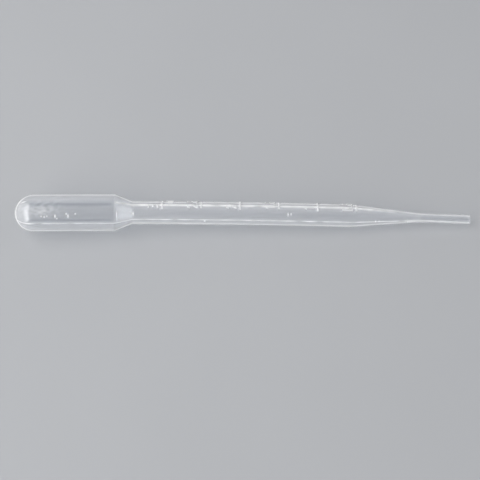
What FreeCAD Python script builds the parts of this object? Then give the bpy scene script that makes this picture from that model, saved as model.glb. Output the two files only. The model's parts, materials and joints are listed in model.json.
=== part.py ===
"""Blow-moulded polyethylene dropper pipette: squeeze bulb, shoulder, graduated stem, taper and tip.

The pipette is one thin-walled piece, turned about its own axis, which runs along X from the end of the
bulb's dome to the mouth of the tip. It lies at rest: tilted tip down until the edge of the bulb's shoulder
and the end of the stem both touch the surface at Z = 0, with its box centred on X = 0 and Y = 0.
"""
import FreeCAD, Part
import math
import os
import Sketcher
from FreeCAD import Vector

# Driving dimensions, in millimetres. Each is a cell of the Dimensions sheet.
DIMENSIONS = {
    "total_length": 155.0,      # dome end to tip mouth
    "bulb_diameter": 12.7,
    "bulb_length": 33.9,        # dome end to the shoulder's edge
    "shoulder_length": 5.9,
    "stem_diameter": 8.0,
    "taper_length": 24.4,
    "tip_length": 16.4,
    "tip_diameter": 3.2,
    "bulb_wall": 0.45,
    "stem_wall": 0.55,
    "tip_wall": 0.55,
    "shoulder_round": 1.0,      # bulb to shoulder
    "neck_round": 1.5,          # shoulder to stem
    "taper_round": 12.0,        # stem to taper
    "nozzle_round": 25.0,       # taper to tip
    "rim_round": 0.15,          # outer rim of the mouth
    "mark_relief": 0.2,         # how far the graduation stands out of the wall
    "mark_thickness": 0.5,      # of a graduation line, along the axis
    "mark_pitch": 13.15,        # half a millilitre along the stem
    "first_mark": 39.35,        # tip mouth to the lowest line
    "whole_mark_near": 1.9,     # reach of a whole millilitre's line towards the top of the pipette
    "whole_mark_far": 3.1,      # and the other way, both from the graduation's middle
    "half_mark_reach": 1.5,     # reach of a half millilitre's line, both ways
    "numeral_height": 3.6,
    "numeral_width": 1.4,
    "numeral_space": 0.35,
    "numeral_stroke": 0.42,
    "numeral_gap": 0.95,        # between a line and its numeral
    "numeral_start": -1.55,     # where each numeral begins, across from the graduation's middle
    "unit_height": 2.6,
    "unit_start": 0.65,         # where the unit begins, likewise
    "mark_roll": 20.0,          # degrees round the axis from the top to the graduation's middle
}

# Places and radii that follow from the driving dimensions, as expressions of the sheet's cells.
BULB_RADIUS = "Dimensions.bulb_diameter / 2"
STEM_RADIUS = "Dimensions.stem_diameter / 2"
TIP_RADIUS = "Dimensions.tip_diameter / 2"
BULB_END = "Dimensions.bulb_length"
STEM_START = "(Dimensions.bulb_length + Dimensions.shoulder_length)"
TIP_START = "(Dimensions.total_length - Dimensions.tip_length)"
TAPER_START = f"({TIP_START} - Dimensions.taper_length)"
MOUTH = "Dimensions.total_length"

# The strokes of each character, in a cell one unit wide and one unit high with its corner at (0, 0).
CHARACTERS = {
    "0": [[(0, 0), (1, 0), (1, 1), (0, 1), (0, 0)]],
    "1": [[(0.1, 0.78), (0.6, 1), (0.6, 0)]],
    "2": [[(0, 0.82), (0.25, 1), (0.75, 1), (1, 0.8), (1, 0.6), (0, 0), (1, 0)]],
    "3": [[(0, 1), (0.75, 1), (1, 0.85), (1, 0.65), (0.75, 0.52), (0.3, 0.52)],
          [(0.75, 0.52), (1, 0.38), (1, 0.15), (0.75, 0), (0, 0)]],
    "5": [[(1, 1), (0, 1), (0, 0.56), (0.75, 0.56), (1, 0.42), (1, 0.14), (0.75, 0), (0, 0)]],
    ".": [[(0, 0), (0, 0.03)]],
    "m": [[(0, 0), (0, 0.7), (1, 0.7), (1, 0)], [(0.5, 0.7), (0.5, 0)]],
    "l": [[(0, 0), (0, 1)]],
}
NARROW_CHARACTERS = ".l"
LABELS = ["0.5", "1", "1.5", "2", "2.5", "3"]     # millilitres, from the lowest line up
UNIT = "ml"

MOUTH_OVERRUN = 1.0     # how far the cavity's form runs on past the mouth, so that the cut opens it
SAME_PLACE = 1e-6       # two places nearer than this are one

# The half sections are turned over, so that the turned faces close underneath, away from the graduation.
TURNED_OVER = FreeCAD.Placement(Vector(), FreeCAD.Rotation(Vector(1, 0, 0), 180))

doc = FreeCAD.newDocument("dropper_pipette")
sheet = doc.addObject("Spreadsheet::Sheet", "Dimensions")
for row, (alias, value) in enumerate(DIMENSIONS.items(), start=1):
    sheet.set(f"A{row}", alias)
    sheet.set(f"B{row}", str(value))
    sheet.setAlias(f"B{row}", alias)
doc.recompute()


def value_of(expression):
    """The number that an expression of the sheet's cells gives."""
    return float(sheet.evalExpression(expression))


def origin_feature(body, role):
    return next(feature for feature in body.Origin.OriginFeatures if feature.Role == role)


def half_section(body, bulb_radius, stem_radius, tip_radius, mouth):
    """Sketch the half profile of a bulb, shoulder, stem, taper and tip on the underside of the X axis."""
    sketch = body.newObject("Sketcher::SketchObject", body.Name + "_section")
    sketch.AttachmentSupport = [(origin_feature(body, "XZ_Plane"), "")]
    sketch.MapMode = "FlatFace"
    sketch.AttachmentOffset = TURNED_OVER
    centre, bulb, stem, tip = map(value_of, (BULB_RADIUS, bulb_radius, stem_radius, tip_radius))
    corners = [
        Vector(centre, bulb),
        Vector(value_of(BULB_END), bulb),
        Vector(value_of(STEM_START), stem),
        Vector(value_of(TAPER_START), stem),
        Vector(value_of(TIP_START), tip),
        Vector(value_of(mouth), tip),
        Vector(value_of(mouth), 0),
        Vector(centre - bulb, 0),
    ]
    dome_circle = Part.Circle(Vector(centre, 0), Vector(0, 0, 1), bulb)
    dome = sketch.addGeometry(Part.ArcOfCircle(dome_circle, math.pi / 2, math.pi))
    lines = [sketch.addGeometry(Part.LineSegment(a, b)) for a, b in zip(corners, corners[1:])]
    bulb_line, shoulder_line, stem_line, taper_line, tip_line, mouth_line, axis_line = lines

    start, end, middle, axis = 1, 2, 3, -1
    sketch.addConstraint(Sketcher.Constraint("Coincident", dome, start, bulb_line, start))
    for before, after in zip(lines, lines[1:]):
        sketch.addConstraint(Sketcher.Constraint("Coincident", before, end, after, start))
    sketch.addConstraint(Sketcher.Constraint("Coincident", axis_line, end, dome, end))
    sketch.addConstraint(Sketcher.Constraint("Vertical", dome, start, dome, middle))
    for geometry, point in ((dome, middle), (dome, end), (mouth_line, end)):
        sketch.addConstraint(Sketcher.Constraint("PointOnObject", geometry, point, axis))
    for line in (bulb_line, stem_line, tip_line):
        sketch.addConstraint(Sketcher.Constraint("Horizontal", line))
    sketch.addConstraint(Sketcher.Constraint("Vertical", mouth_line))

    dimensions = [
        ("DistanceX", "dome_centre", dome, middle, BULB_RADIUS),
        ("DistanceX", "bulb_end", bulb_line, end, BULB_END),
        ("DistanceX", "stem_start", shoulder_line, end, STEM_START),
        ("DistanceX", "taper_start", stem_line, end, TAPER_START),
        ("DistanceX", "tip_start", taper_line, end, TIP_START),
        ("DistanceX", "mouth", tip_line, end, mouth),
        ("DistanceY", "bulb_radius", bulb_line, end, bulb_radius),
        ("DistanceY", "stem_radius", stem_line, end, stem_radius),
        ("DistanceY", "tip_radius", tip_line, end, tip_radius),
    ]
    for kind, name, geometry, point, expression in dimensions:
        index = sketch.addConstraint(
            Sketcher.Constraint(kind, axis, start, geometry, point, value_of(expression)))
        bind_constraint(sketch, index, name, expression)

    corner_kept = trimmed = True
    rounds = {bulb_line: "shoulder_round", shoulder_line: "neck_round",
              stem_line: "taper_round", taper_line: "nozzle_round"}
    for line, name in rounds.items():
        radius = "Dimensions." + name
        arc = sketch.GeometryCount
        sketch.fillet(line, end, value_of(radius), trimmed, corner_kept)
        index = sketch.addConstraint(Sketcher.Constraint("Radius", arc, value_of(radius)))
        bind_constraint(sketch, index, name, radius)
    return sketch


def bind_constraint(sketch, index, name, expression):
    sketch.renameConstraint(index, name)
    sketch.setExpression("Constraints." + name, expression)


def circle_edge_at(shape, station):
    """The name of the circular edge whose centre lies at this place along the X axis."""
    for number, edge in enumerate(shape.Edges, start=1):
        if edge.Degenerated or not isinstance(edge.Curve, Part.Circle):
            continue
        if abs(edge.Curve.Center.x - station) < SAME_PLACE:
            return f"Edge{number}"
    raise ValueError(f"no circular edge at X = {station}")


def turned_form(name, growth, mouth=MOUTH):
    """A solid turned about X, whose radii are the pipette's plus a growth for bulb, stem and tip."""
    body = doc.addObject("PartDesign::Body", name)
    doc.recompute()
    bulb_growth, stem_growth, tip_growth = growth
    sketch = half_section(body, BULB_RADIUS + bulb_growth, STEM_RADIUS + stem_growth,
                          TIP_RADIUS + tip_growth, mouth)
    turned = body.newObject("PartDesign::Revolution", name + "_turned")
    turned.Profile = sketch
    turned.ReferenceAxis = (origin_feature(body, "X_Axis"), [""])
    doc.recompute()
    return body


def round_rim(body):
    """Round the outer rim of the mouth."""
    turned = body.Tip
    fillet = body.newObject("PartDesign::Fillet", body.Name + "_rim")
    fillet.Base = (turned, [circle_edge_at(turned.Shape, value_of(MOUTH))])
    fillet.setExpression("Radius", "Dimensions.rim_round")


def graduation_line(index):
    """The blank of one graduation line: a slab across the axis, trimmed later to its relief."""
    whole = index % 2 == 1
    near = "Dimensions.whole_mark_near" if whole else "Dimensions.half_mark_reach"
    far = "Dimensions.whole_mark_far" if whole else "Dimensions.half_mark_reach"
    slab = doc.addObject("Part::Box", f"line_{index + 1}")
    slab.setExpression("Length", "Dimensions.mark_thickness")
    slab.setExpression("Width", f"{near} + {far}")
    slab.setExpression("Height", "Dimensions.stem_diameter")
    slab.setExpression("Placement.Base.x", f"{line_place(index)} - Dimensions.mark_thickness / 2")
    slab.setExpression("Placement.Base.y", f"-{near}")
    return slab


def line_place(index):
    """Where the middle of a graduation line lies along the axis, as an expression."""
    return f"({MOUTH} - Dimensions.first_mark - {index} * Dimensions.mark_pitch)"


def capsule(first, last, stroke, height):
    """A round-ended bar of the stroke's width from one point to another, raised to a height."""
    along = (last - first).normalize() * (stroke / 2)
    across = Vector(-along.y, along.x, 0)
    outline = Part.Wire([
        Part.LineSegment(first - across, last - across).toShape(),
        Part.Arc(last - across, last + along, last + across).toShape(),
        Part.LineSegment(last + across, first + across).toShape(),
        Part.Arc(first + across, first - along, first - across).toShape(),
    ])
    return Part.Face(outline).extrude(Vector(0, 0, height))


def lettering(name, text, foot, start, height):
    """The blank of a line of characters, standing on X = foot with the bulb upwards, from Y = start on."""
    stroke, full_width, space = map(value_of, (
        "Dimensions.numeral_stroke", "Dimensions.numeral_width", "Dimensions.numeral_space"))
    widths = [stroke if character in NARROW_CHARACTERS else full_width for character in text]
    left = start
    bars = []
    for character, width in zip(text, widths):
        for points in CHARACTERS[character]:
            places = [
                Vector(foot - stroke / 2 - up * (height - stroke),
                       left + stroke / 2 + across * (width - stroke), 0)
                for across, up in points]
            bars += [capsule(a, b, stroke, value_of("Dimensions.stem_diameter"))
                     for a, b in zip(places, places[1:])]
        left += width + space
    blank = doc.addObject("Part::Feature", name)
    blank.Shape = bars[0].fuse(bars[1:]).removeSplitter()
    return blank


def graduation():
    """Blanks of all the lines, their numerals and the unit, which the relief's form trims."""
    half_line = value_of("Dimensions.mark_thickness / 2")
    gap = value_of("Dimensions.numeral_gap")
    blanks = []
    for index, label in enumerate(LABELS):
        foot = value_of(line_place(index)) - half_line - gap
        blanks.append(graduation_line(index))
        blanks.append(lettering("numeral_" + label.replace(".", "_"), label, foot,
                                value_of("Dimensions.numeral_start"), value_of("Dimensions.numeral_height")))
    unit_height = value_of("Dimensions.unit_height")
    unit_foot = value_of(line_place(len(LABELS) - 1)) + half_line + gap + unit_height
    blanks.append(lettering("unit", UNIT, unit_foot, value_of("Dimensions.unit_start"), unit_height))
    return blanks


def joined(name, shapes):
    fuse = doc.addObject("Part::MultiFuse", name)
    fuse.Shapes = shapes
    return fuse


def rounded_cone_corner(radius_before, radius_after, length, corner, rounding):
    """The centre of a convex corner's rounding arc in the half section, as two expressions."""
    turn = f"atan(({radius_before} - {radius_after}) / {length})"
    return f"({corner} - {rounding} * tan({turn} / 2))", f"({radius_before} - {rounding})"


def lying_tilt(first, second):
    """The angle at which two rounding arcs of the half section rest on one plane."""
    (first_x, first_z, first_round), (second_x, second_z, second_round) = first, second
    run, drop = f"({second_x} - {first_x})", f"({first_z} - {second_z})"
    spread = f"sqrt({run} * {run} + {drop} * {drop})"
    return f"atan({drop} / {run}) + asin(({first_round} - {second_round}) / {spread})"


def lay_down(pipette):
    """Lay the pipette on Z = 0: on its bulb's edge, and on the stem's end or the tip's rim.

    The tip is lowered until whichever of those two comes down first.
    """
    shoulder_round, taper_round = "Dimensions.shoulder_round", "Dimensions.taper_round"
    edge_x, edge_z = rounded_cone_corner(
        BULB_RADIUS, STEM_RADIUS, "Dimensions.shoulder_length", BULB_END, shoulder_round)
    stem_x, stem_z = rounded_cone_corner(
        STEM_RADIUS, TIP_RADIUS, "Dimensions.taper_length", TAPER_START, taper_round)
    rim_x, rim_z = f"({MOUTH} - Dimensions.rim_round)", f"({TIP_RADIUS} - Dimensions.rim_round)"
    edge = (edge_x, edge_z, shoulder_round)
    on_stem = lying_tilt(edge, (stem_x, stem_z, taper_round))
    on_rim = lying_tilt(edge, (rim_x, rim_z, "Dimensions.rim_round"))
    tilt = f"min({on_stem}; {on_rim})"
    dome_end = f"({BULB_RADIUS} * cos({tilt}) - {BULB_RADIUS})"
    rim_end = f"({rim_x} * cos({tilt}) + {rim_z} * sin({tilt}) + Dimensions.rim_round)"
    pipette.Placement = FreeCAD.Placement(Vector(), FreeCAD.Rotation(Vector(0, 1, 0), 0))
    pipette.setExpression("Placement.Rotation.Angle", tilt)
    pipette.setExpression("Placement.Base.x", f"-({dome_end} + {rim_end}) / 2")
    pipette.setExpression(
        "Placement.Base.z",
        f"{shoulder_round} + {edge_x} * sin({tilt}) + {edge_z} * cos({tilt})")


def checked(pipette):
    """Stop if any object of the document failed, or the pipette isn't one valid solid."""
    for item in doc.Objects:
        if {"Invalid", "Error"} & set(item.State):
            raise RuntimeError(f"{item.Label} failed: {item.State}")
    if pipette.Shape.isNull() or not pipette.Shape.isValid() or len(pipette.Shape.Solids) != 1:
        raise RuntimeError("the pipette isn't one valid solid")
    return pipette


outer_form = turned_form("outer_form", ("", "", ""))
round_rim(outer_form)

relief = " + Dimensions.mark_relief"
relief_form = turned_form("relief_form", (relief, relief, relief))

cavity_form = turned_form(
    "cavity_form", (" - Dimensions.bulb_wall", " - Dimensions.stem_wall", " - Dimensions.tip_wall"),
    mouth=f"({MOUTH} + {MOUTH_OVERRUN})")

raised_marks = doc.addObject("Part::Common", "raised_marks")
raised_marks.Base = joined("mark_blanks", graduation())
raised_marks.Tool = relief_form
raised_marks.Placement = FreeCAD.Placement(Vector(), FreeCAD.Rotation(Vector(1, 0, 0), 0))
raised_marks.setExpression("Placement.Rotation.Angle", "-Dimensions.mark_roll")

pipette_body = doc.addObject("Part::Cut", "pipette_body")
pipette_body.Label = "pipette_body"
pipette_body.Base = joined("marked_form", [outer_form, raised_marks])
pipette_body.Tool = cavity_form
lay_down(pipette_body)
doc.recompute()

os.makedirs("parts", exist_ok=True)
for node in [checked(pipette_body)]:
    node.Shape.exportStep(f"parts/{node.Label}.step")
    box = node.Shape.optimalBoundingBox()
    print(f"{node.Label}: {node.Shape.Volume:.1f} mm3, X {box.XMin:.3f} to {box.XMax:.3f}, "
          f"Y {box.YMin:.3f} to {box.YMax:.3f}, Z {box.ZMin:.3f} to {box.ZMax:.3f}")
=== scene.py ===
"""Looks of a blow-moulded dropper pipette: milky translucent polyethylene on a pale studio floor.

The wall is modelled as a real one, with an outer and an inner skin that meet at the mouth of the tip. The
graduation stands out of the outer skin, a fine seam runs along each side where the mould parted, and the
wall is a little uneven, as blown polyethylene is. Places along run from the dome's end to the mouth, and
angles run from the top round to the far side.
"""
import json
import math

import bpy
from mathutils import Matrix, Vector, noise


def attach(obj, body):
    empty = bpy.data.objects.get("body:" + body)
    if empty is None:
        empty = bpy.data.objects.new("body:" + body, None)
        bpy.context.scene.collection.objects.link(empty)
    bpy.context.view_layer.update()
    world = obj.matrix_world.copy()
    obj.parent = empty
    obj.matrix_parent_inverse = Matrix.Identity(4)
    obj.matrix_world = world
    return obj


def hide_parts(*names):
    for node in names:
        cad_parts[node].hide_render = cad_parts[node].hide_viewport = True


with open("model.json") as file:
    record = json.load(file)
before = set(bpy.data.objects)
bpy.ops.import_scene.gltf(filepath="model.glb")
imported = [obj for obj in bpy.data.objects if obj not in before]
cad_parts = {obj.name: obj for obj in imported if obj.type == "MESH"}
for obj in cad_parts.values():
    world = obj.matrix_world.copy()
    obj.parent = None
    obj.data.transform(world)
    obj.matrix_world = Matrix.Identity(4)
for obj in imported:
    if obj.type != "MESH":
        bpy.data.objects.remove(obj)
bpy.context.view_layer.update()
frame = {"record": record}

MM = 0.001
mounts = {mount["name"]: mount for mount in frame["record"]["mounts"]}

# ---------------------------------------------------------------- sizes, in millimetres

BULB_RADIUS = mounts["bulb_barrel"]["dims"]["r_mm"]
TIP_RADIUS = mounts["tip_nozzle"]["dims"]["r_mm"]
TIP_BORE_RADIUS = mounts["tip_bore"]["dims"]["r_mm"]
STEM_RADIUS = 4.0
BULB_WALL, STEM_WALL = 0.45, 0.55
TOTAL_LENGTH, BULB_LENGTH, SHOULDER_LENGTH, TAPER_LENGTH, TIP_LENGTH = 155.0, 33.9, 5.9, 24.4, 16.4
SHOULDER_ROUND, NECK_ROUND, TAPER_ROUND, NOZZLE_ROUND = 1.0, 1.5, 12.0, 25.0
RIM_ROUND = 0.15

STEM_START = BULB_LENGTH + SHOULDER_LENGTH
TIP_START = TOTAL_LENGTH - TIP_LENGTH
TAPER_START = TIP_START - TAPER_LENGTH

MARK_RELIEF, MARK_THICKNESS, MARK_PITCH, FIRST_MARK = 0.2, 0.5, 13.15, 39.35
WHOLE_MARK_NEAR, WHOLE_MARK_FAR, HALF_MARK_REACH = 1.9, 3.1, 1.5
NUMERAL_HEIGHT, NUMERAL_WIDTH, NUMERAL_SPACE, NUMERAL_STROKE, NUMERAL_GAP = 3.6, 1.4, 0.35, 0.42, 0.95
NUMERAL_START, UNIT_START, UNIT_HEIGHT = -1.55, 0.65, 2.6
MARK_ROLL = 20.0            # degrees from the top round to the graduation's middle, on the far side
SOFT_EDGE = 0.07            # half the width of the slope beside a raised stroke
LINE_DULLNESS, NUMERAL_DULLNESS, UNIT_DULLNESS = 0.6, 0.5, 1.0      # how milky each is, from 0 to 1

# Fine lines that the mould left: degrees from the top on the stem and on the bulb, where each begins and
# ends, its spread and its strength. Along the first two its halves parted, and the last is the edge of the
# graduation's strip.
SEAMS = [
    (118.6, 118.6, 0.0, TOTAL_LENGTH, 0.15, 1.0),
    (-60.0, -60.0, 0.0, TOTAL_LENGTH, 0.15, 1.0),
    (15.0, 8.0, BULB_LENGTH, TIP_START - 8.0, 0.38, 1.4),
]
SEAM_FADE, SEAM_HEIGHT = 12.0, 0.05     # how long a seam takes to fade out, and how far it stands out
SEAM_WAVE, SEAM_LEAST, SEAM_MEAN, SEAM_VARIES = 3.5, 0.2, 0.7, 0.9      # how its strength varies along it
PAINTED_SHADE_LINES = [     # painted shade: darker lines in the base colour that stand in for dark reflections along the bulb, and a painted darker band down the front of the tip; the middle and half of the length, degrees from the top, spread and strength
    (19.5, 14.5, 1.0, 0.62, 1.0), (19.5, 14.5, -49.5, 0.5, 0.7), (146.5, 9.0, -24.0, 0.8, 0.42),
]
OUTER_UNEVEN, WALL_UNEVEN = 0.004, 0.004        # how far the outer and the inner skin vary
BOW, BOW_MIDDLE, BOW_REACH = 0.8, 87.5, 67.5    # how far the soft pipette bends sideways at its middle
BLISTERS = [    # place along, degrees from the top, reach along and around
    (3.7, 13, 0.60, 0.16), (9.9, -36, 0.24, 0.20), (10.9, -38, 0.20, 0.26), (11.8, -36, 0.17, 0.22),
    (14.5, -36, 0.17, 0.50), (15.1, -43, 0.16, 0.20), (18.2, -29, 0.18, 0.24), (18.8, -36, 0.17, 0.55),
    (21.2, -29, 0.20, 0.20), (34.9, -34, 0.14, 1.30), (40.2, -31, 0.18, 0.50), (64.3, -66, 0.26, 0.20),
    (92.4, -27, 0.17, 0.45), (93.4, -25, 0.14, 0.30), (122.3, -58, 0.22, 0.22), (123.5, -58, 0.17, 0.17),
    (133.5, -72, 0.20, 0.20),
]
BLISTER_HEIGHT, BLISTER_DULLNESS, BLISTER_LIMIT = 0.14, 1.5, 2.0     # none reaches further than the limit
CLOUD_PLACE, CLOUD_ANGLE, CLOUD_REACH, CLOUD_ROUND_REACH = 10.2, -14.0, 4.8, 2.2    # a duller patch
CLOUD_DULLNESS, CLOUD_MEAN, CUT_DULLNESS = 0.40, 0.4, 0.7       # the last is that of the mouth's cut end
MILKINESS = 0.32            # the share of light scattered by each millimetre of plastic, as an exponent

# The strokes of each character, in a cell one unit wide and one unit high with its corner at (0, 0).
CHARACTERS = {
    "0": [[(0, 0), (1, 0), (1, 1), (0, 1), (0, 0)]],
    "1": [[(0.1, 0.78), (0.6, 1), (0.6, 0)]],
    "2": [[(0, 0.82), (0.25, 1), (0.75, 1), (1, 0.8), (1, 0.6), (0, 0), (1, 0)]],
    "3": [[(0, 1), (0.75, 1), (1, 0.85), (1, 0.65), (0.75, 0.52), (0.3, 0.52)],
          [(0.75, 0.52), (1, 0.38), (1, 0.15), (0.75, 0), (0, 0)]],
    "5": [[(1, 1), (0, 1), (0, 0.56), (0.75, 0.56), (1, 0.42), (1, 0.14), (0.75, 0), (0, 0)]],
    ".": [[(0, 0), (0, 0.03)]],
    "m": [[(0, 0), (0, 0.7), (1, 0.7), (1, 0)], [(0.5, 0.7), (0.5, 0)]],
    "l": [[(0, 0), (0, 1)]],
}
NARROW_CHARACTERS = ".l"
LABELS = ["0.5", "1", "1.5", "2", "2.5", "3"]
UNIT = "ml"


def clamped(value):
    return min(1, max(0, value))


# ---------------------------------------------------------------- the half section

def rounded_path(corners, rounds):
    """Points of a run of straight lines whose inner corners are rounded."""
    corners = [Vector(corner) for corner in corners]
    path = [corners[0]]
    for before, corner, after, rounding in zip(corners, corners[1:], corners[2:], rounds):
        incoming, outgoing = (corner - before).normalized(), (after - corner).normalized()
        turn = math.atan2(incoming.x * outgoing.y - incoming.y * outgoing.x, incoming.dot(outgoing))
        side = Vector((-incoming.y, incoming.x)) * math.copysign(1, turn)
        start = corner - incoming * rounding * math.tan(abs(turn) / 2)
        steps = max(3, math.ceil(math.degrees(abs(turn)) / 2))
        for step in range(steps + 1):
            swept = abs(turn) * step / steps
            path.append(start + rounding * (incoming * math.sin(swept) + side * (1 - math.cos(swept))))
    path.append(corners[-1])
    return path


def half_section(bulb, stem, tip, mouth):
    """The half section from the foot of the dome to the mouth, for one skin's three radii."""
    return rounded_path(
        [(BULB_RADIUS, bulb), (BULB_LENGTH, bulb), (STEM_START, stem), (TAPER_START, stem),
         (TIP_START, tip), (mouth, tip)],
        [SHOULDER_ROUND, NECK_ROUND, TAPER_ROUND, NOZZLE_ROUND])


def divided(path, length, fine=()):
    """The path with its longer runs divided, most finely within the stretches of the fine list.

    The last step of a run may be a little longer than the others.
    """
    last_step = 1.3
    out = [path[0]]
    for a, b in zip(path, path[1:]):
        place = a.x
        while place < b.x:
            steps = [max(fine_step, start - place) for start, end, fine_step in fine if place < end]
            step = min([length] + steps)
            place = place + step if place + last_step * step < b.x else b.x
            out.append(a.lerp(b, (place - a.x) / (b.x - a.x)))
    return out


def dome(radius, steps):
    """The half section of a dome from next to its end to next to its foot."""
    quarter = math.pi / 2
    return [Vector((BULB_RADIUS - radius * math.cos(quarter * step / steps),
                    radius * math.sin(quarter * step / steps))) for step in range(1, steps)]


# ---------------------------------------------------------------- the graduation

def line_place(index):
    return TOTAL_LENGTH - FIRST_MARK - index * MARK_PITCH


def character_strokes(text, foot, start, height, dullness):
    """Strokes of a line of characters, as (start, end, half width, dullness) in places along and across."""
    widths = [NUMERAL_STROKE if character in NARROW_CHARACTERS else NUMERAL_WIDTH for character in text]
    left, half = start, NUMERAL_STROKE / 2
    strokes = []
    for character, width in zip(text, widths):
        for points in CHARACTERS[character]:
            places = [Vector((foot - half - up * (height - NUMERAL_STROKE),
                              left + half + across * (width - NUMERAL_STROKE))) for across, up in points]
            strokes += [(a, b, half, dullness) for a, b in zip(places, places[1:])]
        left += width + NUMERAL_SPACE
    return strokes


def graduation():
    """Every raised stroke of the graduation: lines, numerals and the unit."""
    half_line = MARK_THICKNESS / 2
    strokes = []
    for index, label in enumerate(LABELS):
        place, whole = line_place(index), index % 2 == 1
        near = WHOLE_MARK_NEAR if whole else HALF_MARK_REACH
        far = WHOLE_MARK_FAR if whole else HALF_MARK_REACH
        ends = Vector((place, half_line - near)), Vector((place, far - half_line))
        strokes.append((*ends, half_line, LINE_DULLNESS))
        numeral_foot = place - half_line - NUMERAL_GAP
        strokes += character_strokes(label, numeral_foot, NUMERAL_START, NUMERAL_HEIGHT, NUMERAL_DULLNESS)
    unit_foot = line_place(len(LABELS) - 1) + half_line + NUMERAL_GAP + UNIT_HEIGHT
    return strokes + character_strokes(UNIT, unit_foot, UNIT_START, UNIT_HEIGHT, UNIT_DULLNESS)


def stroke_relief(strokes, place, across):
    """How far the strokes raise the outer skin at a place along and across, and how dull it is there."""
    most = dullest = 0.0
    here = Vector((place, across))
    for a, b, half, dullness in strokes:
        if abs(place - (a.x + b.x) / 2) > abs(a.x - b.x) / 2 + half + SOFT_EDGE:
            continue
        along = b - a
        share = clamped((here - a).dot(along) / along.length_squared)
        depth = clamped((half + SOFT_EDGE - (here - a - along * share).length) / (2 * SOFT_EDGE))
        raised = depth * depth * (3 - 2 * depth)
        most, dullest = max(most, raised), max(dullest, dullness * raised)
    return most, dullest


# ---------------------------------------------------------------- the mesh

MARK_COLUMNS_START, MARK_COLUMNS_END, BLISTER_COLUMNS_START = MARK_ROLL - 32, MARK_ROLL + 54, -54
MARK_COLUMN, BLISTER_COLUMN, PLAIN_COLUMN = 1.6, 1.8, 4.5       # degrees from one column to the next
SEAM_COLUMNS = (0, 0.8, 1.6, 2.5, 3.6, 5.0)     # degrees from the middle of a seam
STROKE_RING, BLISTER_RING, CLOUD_RING, OUTER_RING, INNER_RING = 0.14, 0.16, 0.35, 1.0, 1.5
BLISTER_RING_REACH = 0.6        # how far from a blister the rings stay close
OUTER_DOME_RINGS, INNER_DOME_RINGS, MOUTH_RINGS = 24, 18, 4


def column_angles():
    """Angles of the mesh's columns, in degrees from the top: close by the graduation and the seams."""
    angles = set()
    angle = -180.0
    while angle < 180:
        angles.add(round(angle, 3))
        if MARK_COLUMNS_START <= angle < MARK_COLUMNS_END:
            angle += MARK_COLUMN
        elif BLISTER_COLUMNS_START <= angle < MARK_COLUMNS_START:
            angle += BLISTER_COLUMN
        else:
            angle += PLAIN_COLUMN
    for seam, *_ in SEAMS[:2]:
        angles = {a for a in angles if abs(a - seam) > SEAM_COLUMNS[-1]}
        angles |= {round(seam + side * gap, 3) for gap in SEAM_COLUMNS for side in (-1, 1)}
    return sorted(angles)


def skin_noise(place, angle, radius, seed, size):
    """Smooth unevenness from -1 to 1 at a place on a skin, with bumps of about the given size."""
    return noise.noise(Vector((place / size + seed, math.cos(angle) * radius / size,
                               math.sin(angle) * radius / size)))


def outer_radius(place, angle, radius, strokes):
    """The outer skin's true radius, with its graduation, seams and unevenness, and how dull it is there."""
    across = radius * math.sin(math.radians(angle - MARK_ROLL))
    raised, dull = stroke_relief(strokes, place, across) if abs(angle - MARK_ROLL) < 90 else (0.0, 0.0)
    seam = 0.0
    widening = clamped((radius - STEM_RADIUS) / (BULB_RADIUS - STEM_RADIUS))
    for stem_angle, bulb_angle, start, end, spread, strength in SEAMS:
        seam_angle = stem_angle + (bulb_angle - stem_angle) * widening
        gap = math.radians((angle - seam_angle + 180) % 360 - 180) * radius
        wave = noise.noise(Vector((place / SEAM_WAVE, stem_angle, 0)))
        varied = max(SEAM_LEAST, SEAM_MEAN + SEAM_VARIES * wave)
        shown = clamped(place - start) * clamped((end - place) / SEAM_FADE)
        seam += strength * varied * shown * math.exp(-(gap / spread) ** 2)
    blister = 0.0
    for along, blister_angle, reach, round_reach in BLISTERS:
        if abs(place - along) < BLISTER_LIMIT:
            gap = math.radians(angle - blister_angle) * radius
            blister += math.exp(-((place - along) / reach) ** 2 - (gap / round_reach) ** 2)
    turn = math.radians(angle)
    gap = math.radians(angle - CLOUD_ANGLE) * radius
    cloud = math.exp(-((place - CLOUD_PLACE) / CLOUD_REACH) ** 2 - (gap / CLOUD_ROUND_REACH) ** 2)
    cloud *= CLOUD_DULLNESS * max(0, CLOUD_MEAN + skin_noise(place * 0.6, turn, radius, seed=17.7, size=0.9))
    uneven = skin_noise(place * 0.4, turn, radius, seed=3.1, size=9.0)
    fade = min(1, radius / TIP_RADIUS)
    height = (MARK_RELIEF * raised + SEAM_HEIGHT * seam + BLISTER_HEIGHT * blister
              + OUTER_UNEVEN * (uneven - 1))
    return radius + fade * height, max(dull, min(1, fade * seam), min(1, BLISTER_DULLNESS * blister), cloud)


def painted_shade_strength(place, angle, radius):
    """How strong the painted shade is at a place on the outer skin, from 0 to 1: darker lines that stand in
    for dark reflections on the bulb and for shade down the tip's front.
    """
    painted_shade_total = 0.0
    for middle, reach, line, spread, strength in PAINTED_SHADE_LINES:
        gap = math.radians(angle - line) * radius
        shown = clamped(reach - abs(place - middle))
        painted_shade_total += strength * shown * math.exp(-(gap / spread) ** 2)
    return painted_shade_total


def inner_radius(place, angle, radius):
    turn = math.radians(angle)
    uneven = skin_noise(place * 0.3, turn, radius, seed=41.3, size=5.0)
    return radius + WALL_UNEVEN * uneven * min(1, radius / STEM_RADIUS)


def wall_at(place):
    """The wall's thickness at a place along, which thickens over the shoulder."""
    share = clamped((place - BULB_LENGTH) / SHOULDER_LENGTH)
    return BULB_WALL + (STEM_WALL - BULB_WALL) * share


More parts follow.
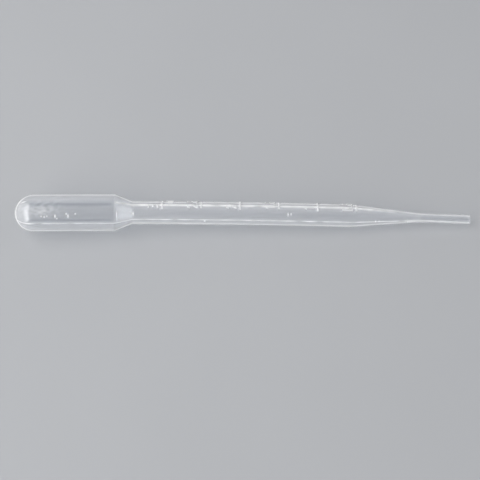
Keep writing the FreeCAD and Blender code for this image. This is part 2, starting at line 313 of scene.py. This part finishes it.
def wall_rings(strokes):
    """Rings of (place, radius at each column, relief at each column, wall's round radius) along both skins.

    They run from the dome's end round the mouth and back. The inner skin's round radius is 0.
    """
    fine = [(min(a.x, b.x) - half - SOFT_EDGE, max(a.x, b.x) + half + SOFT_EDGE, STROKE_RING)
            for a, b, half, _ in strokes]
    fine += [(along - BLISTER_RING_REACH, along + BLISTER_RING_REACH, BLISTER_RING)
             for along, *_ in BLISTERS]
    fine.append((CLOUD_PLACE - CLOUD_REACH, CLOUD_PLACE + CLOUD_REACH, CLOUD_RING))
    outer = half_section(BULB_RADIUS, STEM_RADIUS, TIP_RADIUS, TOTAL_LENGTH - RIM_ROUND)
    cavity = half_section(BULB_RADIUS - BULB_WALL, STEM_RADIUS - STEM_WALL, TIP_BORE_RADIUS,
                          TOTAL_LENGTH - RIM_ROUND / 2)
    angles = column_angles()
    rings = []
    for point in dome(BULB_RADIUS, OUTER_DOME_RINGS) + divided(outer, OUTER_RING, fine):
        radii, raised = zip(*[outer_radius(point.x, angle, point.y, strokes) for angle in angles])
        rings.append((point.x, radii, raised, BULB_RADIUS if point.x < BULB_RADIUS else point.y))
    cut, flat = [CUT_DULLNESS] * len(angles), [0.0] * len(angles)
    for step in range(1, MOUTH_RINGS + 1):
        swept = math.pi / 2 * step / MOUTH_RINGS
        rings.append((TOTAL_LENGTH - RIM_ROUND * (1 - math.sin(swept)),
                      [TIP_RADIUS - RIM_ROUND * (1 - math.cos(swept))] * len(angles), cut, TIP_RADIUS))
    rings.append((TOTAL_LENGTH, [TIP_BORE_RADIUS + RIM_ROUND / 2] * len(angles), cut, TIP_RADIUS))
    edge = RIM_ROUND / 7        # how far the mouth's sharper inner edge is cut off
    rings.append((TOTAL_LENGTH - edge, [TIP_BORE_RADIUS + edge] * len(angles), flat, 0.0))
    for point in reversed(dome(BULB_RADIUS - BULB_WALL, INNER_DOME_RINGS) + divided(cavity, INNER_RING)):
        rings.append((point.x, [inner_radius(point.x, angle, point.y) for angle in angles], flat, 0.0))
    return angles, rings


def bow(place):
    """How far the axis lies to the side at a place along it."""
    return BOW * (1 - ((place - BOW_MIDDLE) / BOW_REACH) ** 2)


def pipette_mesh():
    """The closed wall of the pipette along X, in millimetres.

    Its vertex attributes are the relief, the strength of the painted shade lines, the outer skin's radius,
    and how the cavity's compares.
    """
    strokes = graduation()
    angles, rings = wall_rings(strokes)
    turns = [math.radians(angle) for angle in angles]
    vertices = [(0.0, bow(0), 0.0)]
    relief, painted_shade_values, round_radii, hollow = [0.0], [0.0], [BULB_RADIUS], [(1 - BULB_WALL / BULB_RADIUS) ** 2 - 1]
    for place, radii, raised, round_radius in rings:
        bend = bow(place)
        round_radii += [round_radius] * len(radii)
        hollow += [(1 - wall_at(place) / round_radius) ** 2 - 1 if round_radius else 0.0] * len(radii)
        vertices += [(place, bend + radius * math.sin(turn), radius * math.cos(turn))
                     for radius, turn in zip(radii, turns)]
        relief += raised
        # painted shade: how strongly the base colour is darkened here, standing in for dark reflections and
        # shade
        painted_shade_values += [painted_shade_strength(place, angle, round_radius) if round_radius else 0.0 for angle in angles]
    vertices.append((BULB_WALL, bow(BULB_WALL), 0.0))
    for values in (relief, painted_shade_values, round_radii, hollow):
        values.append(0.0)
    count, last = len(turns), len(vertices) - 1
    faces = []
    for column in range(count):
        after = (column + 1) % count
        faces.append((0, 1 + column, 1 + after))
        for ring in range(len(rings) - 1):
            start, following = 1 + ring * count, 1 + (ring + 1) * count
            faces.append((start + column, following + column, following + after, start + after))
        foot = 1 + (len(rings) - 1) * count
        faces.append((foot + column, last, foot + after))
    mesh = bpy.data.meshes.new("pipette")
    mesh.from_pydata(vertices, [], faces)
    attributes = {"relief": relief, "painted_shade_strength": painted_shade_values, "round_radius": round_radii, "hollow": hollow}
    for name, values in attributes.items():
        mesh.attributes.new(name, "FLOAT", "POINT").data.foreach_set("value", values)
    mesh.validate()
    mesh.polygons.foreach_set("use_smooth", [True] * len(mesh.polygons))
    return mesh


def lying_place():
    """The transform from the pipette's own axis, in millimetres, to where it lies."""
    barrel = mounts["bulb_barrel"]
    along = -Vector(barrel["axis"]).normalized()
    dome_end = Vector(barrel["pos_m"]) - along * (BULB_RADIUS + barrel["dims"]["length_mm"] / 2) * MM
    across = Vector((0, 1, 0))
    turn = Matrix((along, across, along.cross(across))).transposed().to_4x4()
    return Matrix.Translation(dome_end) @ turn @ Matrix.Scale(MM, 4)


# ---------------------------------------------------------------- materials

def node_tree(name):
    material = bpy.data.materials.new(name)
    material.use_nodes = True
    material.node_tree.nodes.clear()
    return material, material.node_tree


def add(tree, kind, **settings):
    """A node with some of its inputs and properties set."""
    node = tree.nodes.new("ShaderNode" + kind)
    for name, value in settings.items():
        if name in node.inputs:
            node.inputs[name].default_value = value
        else:
            setattr(node, name, value)
    return node


def noise_of(tree, coordinates, scale, stretch=(1, 1, 1)):
    """A noise value over the object's own coordinates, stretched along its axes."""
    mapping = add(tree, "Mapping", Scale=stretch)
    texture = add(tree, "TexNoise", Scale=scale, Detail=2.0)
    tree.links.new(coordinates, mapping.inputs["Vector"])
    tree.links.new(mapping.outputs["Vector"], texture.inputs["Vector"])
    return texture.outputs["Fac"]


def ranged(tree, value, low, high, from_low=0.3, from_high=0.7):
    spread = add(tree, "MapRange", **{
        "From Min": from_low, "From Max": from_high, "To Min": low, "To Max": high})
    tree.links.new(value, spread.inputs["Value"])
    return spread.outputs["Result"]


def math_node(tree, operation, *values):
    """The result of an operation on numbers and other nodes' results."""
    node = add(tree, "Math", operation=operation)
    for value, socket in zip(values, node.inputs):
        if isinstance(value, float):
            socket.default_value = value
        else:
            tree.links.new(value, socket)
    return node.outputs["Value"]


def polyethylene():
    """Milky translucent low-density polyethylene with a soft waxy gloss."""
    material, tree = node_tree("milky_polyethylene")
    link = tree.links.new
    output = add(tree, "OutputMaterial")
    plastic = add(tree, "BsdfPrincipled", **{
        "IOR": 1.51, "Coat Weight": 0.4, "Coat Roughness": 0.03, "Coat IOR": 1.5,
        "Subsurface Weight": 1.0, "Subsurface Scale": 0.0003, "Subsurface Radius": (1.0, 1.0, 1.0)})
    coordinates = add(tree, "TexCoord").outputs["Object"]
    relief = add(tree, "Attribute", attribute_name="relief").outputs["Fac"]

    streak = noise_of(tree, coordinates, scale=1400.0, stretch=(0.02, 1, 1))
    grain = noise_of(tree, coordinates, scale=2600.0, stretch=(0.3, 1, 1))

    tint = add(tree, "Mix", data_type="RGBA")
    tint.inputs["A"].default_value = (0.885, 0.90, 0.92, 1)
    tint.inputs["B"].default_value = (0.975, 0.985, 0.995, 1)
    link(ranged(tree, streak, 0.0, 1.0), tint.inputs["Factor"])
    # Painted shade: the base colour turns darker grey along the painted shade lines, standing in for dark
    # reflections on the bulb and for shade down the front of the tip.
    painted_shade_colour = add(tree, "Mix", data_type="RGBA")
    painted_shade_colour.inputs["B"].default_value = (0.50, 0.52, 0.55, 1)
    link(add(tree, "Attribute", attribute_name="painted_shade_strength").outputs["Fac"], painted_shade_colour.inputs["Factor"])
    link(tint.outputs["Result"], painted_shade_colour.inputs["A"])
    link(painted_shade_colour.outputs["Result"], plastic.inputs["Base Color"])

    # Light crosses more plastic where the wall is seen edge on, and less of it comes through.
    # On a round wall it crosses radius * (c - sqrt(c * c + hollow)), with c the cosine of the slant, and
    # twice that next to the outline, where it stays within the wall.
    cosine = math_node(tree, "SUBTRACT", 1.0, add(tree, "LayerWeight", Blend=0.5).outputs["Facing"])
    hollow = add(tree, "Attribute", attribute_name="hollow").outputs["Fac"]
    round_radius = add(tree, "Attribute", attribute_name="round_radius").outputs["Fac"]
    beyond = math_node(tree, "ADD", math_node(tree, "MULTIPLY", cosine, cosine), hollow)
    hollow_chord = math_node(tree, "SQRT", math_node(tree, "MAXIMUM", beyond, 0.0))
    crossed = math_node(tree, "MULTIPLY", math_node(tree, "SUBTRACT", cosine, hollow_chord), round_radius)
    times = math_node(tree, "ADD", 1.0, math_node(tree, "LESS_THAN", beyond, 0.0))
    scattered = math_node(tree, "MULTIPLY", math_node(tree, "MULTIPLY", crossed, times), -MILKINESS)
    clear = math_node(tree, "EXPONENT", scattered)
    link(math_node(tree, "MULTIPLY", clear, ranged(tree, relief, 1.0, 0.1, 0.0, 1.0)),
         plastic.inputs["Transmission Weight"])

    link(ranged(tree, streak, 0.06, 0.08), plastic.inputs["Roughness"])

    bump = add(tree, "Bump", Strength=0.1, Distance=0.00002)
    link(grain, bump.inputs["Height"])
    link(bump.outputs["Normal"], plastic.inputs["Normal"])
    link(bump.outputs["Normal"], plastic.inputs["Coat Normal"])

    lamps = add(tree, "LightPath")
    through = add(tree, "BsdfTransparent", Color=(0.82, 0.83, 0.85, 1))
    mixed = add(tree, "MixShader")
    link(lamps.outputs["Is Shadow Ray"], mixed.inputs["Fac"])
    link(plastic.outputs["BSDF"], mixed.inputs[1])
    link(through.outputs["BSDF"], mixed.inputs[2])
    link(mixed.outputs["Shader"], output.inputs["Surface"])
    return material


def studio_floor():
    """A plain pale floor with the faintest mottling."""
    material, tree = node_tree("studio_floor")
    link = tree.links.new
    output = add(tree, "OutputMaterial")
    surface = add(tree, "BsdfPrincipled", **{"Roughness": 0.75, "Specular IOR Level": 0.2})
    coordinates = add(tree, "TexCoord").outputs["Object"]
    tint = add(tree, "Mix", data_type="RGBA")
    tint.inputs["A"].default_value = (0.42, 0.43, 0.445, 1)
    tint.inputs["B"].default_value = (0.43, 0.44, 0.455, 1)
    link(ranged(tree, noise_of(tree, coordinates, scale=14.0), 0.0, 1.0), tint.inputs["Factor"])
    link(tint.outputs["Result"], surface.inputs["Base Color"])
    link(surface.outputs["BSDF"], output.inputs["Surface"])
    return material


# ---------------------------------------------------------------- the studio

CAMERA_ELEVATION = math.radians(66.0)
CAMERA_LENS, CAMERA_DISTANCE, CAMERA_ROLL = 75.0, 0.34115, math.radians(0.27)
CAMERA_AIM = Vector((-0.0012, -0.0075, 0.0015))
SOFTBOX_DISTANCE = 0.9

towards_camera = Vector((0, -math.cos(CAMERA_ELEVATION), math.sin(CAMERA_ELEVATION)))
camera_up = Vector((0, math.sin(CAMERA_ELEVATION), math.cos(CAMERA_ELEVATION)))
camera_right = Vector((1, 0, 0))


def facing(place, target, up=Vector((0, 0, 1))):
    """The transform of a camera or lamp at a place, looking at a target."""
    back = (place - target).normalized()
    right = up.cross(back).normalized()
    turn = Matrix((right, back.cross(right), back)).transposed().to_4x4()
    return Matrix.Translation(place) @ turn


def add_camera():
    data = bpy.data.cameras.new("camera")
    data.lens = CAMERA_LENS
    data.clip_start, data.clip_end = 0.01, 20
    camera = bpy.data.objects.new("camera", data)
    bpy.context.scene.collection.objects.link(camera)
    camera.matrix_world = facing(CAMERA_AIM + towards_camera * CAMERA_DISTANCE, CAMERA_AIM,
                                 camera_up - camera_right * math.tan(CAMERA_ROLL))
    bpy.context.scene.camera = camera


def add_softbox(name, direction, width, height, radiance):
    """A softbox in a direction from the pipette, of a size in metres and as bright as its radiance says."""
    data = bpy.data.lights.new(name, "AREA")
    data.shape = "RECTANGLE"
    data.size, data.size_y = width, height
    data.energy = radiance * math.pi * width * height
    lamp = bpy.data.objects.new(name, data)
    bpy.context.scene.collection.objects.link(lamp)
    lamp.matrix_world = facing(direction * SOFTBOX_DISTANCE, Vector(), camera_up)
    lamp.visible_camera = False


def right_of_camera(degrees):
    """The direction found by turning from the camera's own to the right."""
    turn = math.radians(degrees)
    return towards_camera * math.cos(turn) + camera_right * math.sin(turn)


def across_table(side, degrees):
    """The direction at a height over the table on the far side (1) or the near side (-1)."""
    return Vector((0, side * math.cos(math.radians(degrees)), math.sin(math.radians(degrees))))


def add_floor():
    mesh = bpy.data.meshes.new("floor")
    half, steps = 4.0, 16
    row = [half * (2 * i / steps - 1) for i in range(steps + 1)]
    width = steps + 1
    mesh.from_pydata(
        [(x, y, 0.0) for y in row for x in row], [],
        [(j * width + i, j * width + i + 1, (j + 1) * width + i + 1, (j + 1) * width + i)
         for j in range(steps) for i in range(steps)])
    floor = bpy.data.objects.new("floor", mesh)
    bpy.context.scene.collection.objects.link(floor)
    mesh.materials.append(studio_floor())


def add_world():
    """A faint even light, seen by the camera and in gloss and glass as a pale backdrop."""
    world = bpy.data.worlds.new("studio")
    world.use_nodes = True
    tree = world.node_tree
    backdrop, ambient = tree.nodes["Background"], add(tree, "Background")
    backdrop.inputs["Color"].default_value = (0.32, 0.327, 0.338, 1)
    ambient.inputs["Color"].default_value = (0.33, 0.33, 0.34, 1)
    rays = add(tree, "LightPath")
    seen = math_node(tree, "MAXIMUM", rays.outputs["Is Camera Ray"], rays.outputs["Is Glossy Ray"])
    seen = math_node(tree, "MAXIMUM", seen, rays.outputs["Is Transmission Ray"])
    mixed = add(tree, "MixShader")
    tree.links.new(seen, mixed.inputs["Fac"])
    tree.links.new(ambient.outputs["Background"], mixed.inputs[1])
    tree.links.new(backdrop.outputs["Background"], mixed.inputs[2])
    tree.links.new(mixed.outputs["Shader"], tree.nodes["World Output"].inputs["Surface"])
    bpy.context.scene.world = world


# ---------------------------------------------------------------- the scene

mesh = pipette_mesh()
mesh.transform(lying_place())
mesh.materials.append(polyethylene())
pipette = bpy.data.objects.new("pipette", mesh)
bpy.context.scene.collection.objects.link(pipette)
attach(pipette, "root")
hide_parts("pipette_body")

add_camera()
add_floor()
add_world()
add_softbox("left_softbox", right_of_camera(-41.5), 0.48, 1.9, 2.8)
add_softbox("left_strip_softbox", right_of_camera(-32), 0.16, 1.9, 2.0)
add_softbox("left_side_softbox", right_of_camera(-82), 0.70, 1.9, 0.9)
add_softbox("right_softbox", right_of_camera(58), 0.75, 1.9, 0.8)
add_softbox("far_softbox", across_table(1, 25), 1.8, 0.26, 0.55)
add_softbox("near_softbox", across_table(-1, 5), 1.8, 0.16, 1.2)
bpy.context.scene.view_settings.view_transform = "Standard"
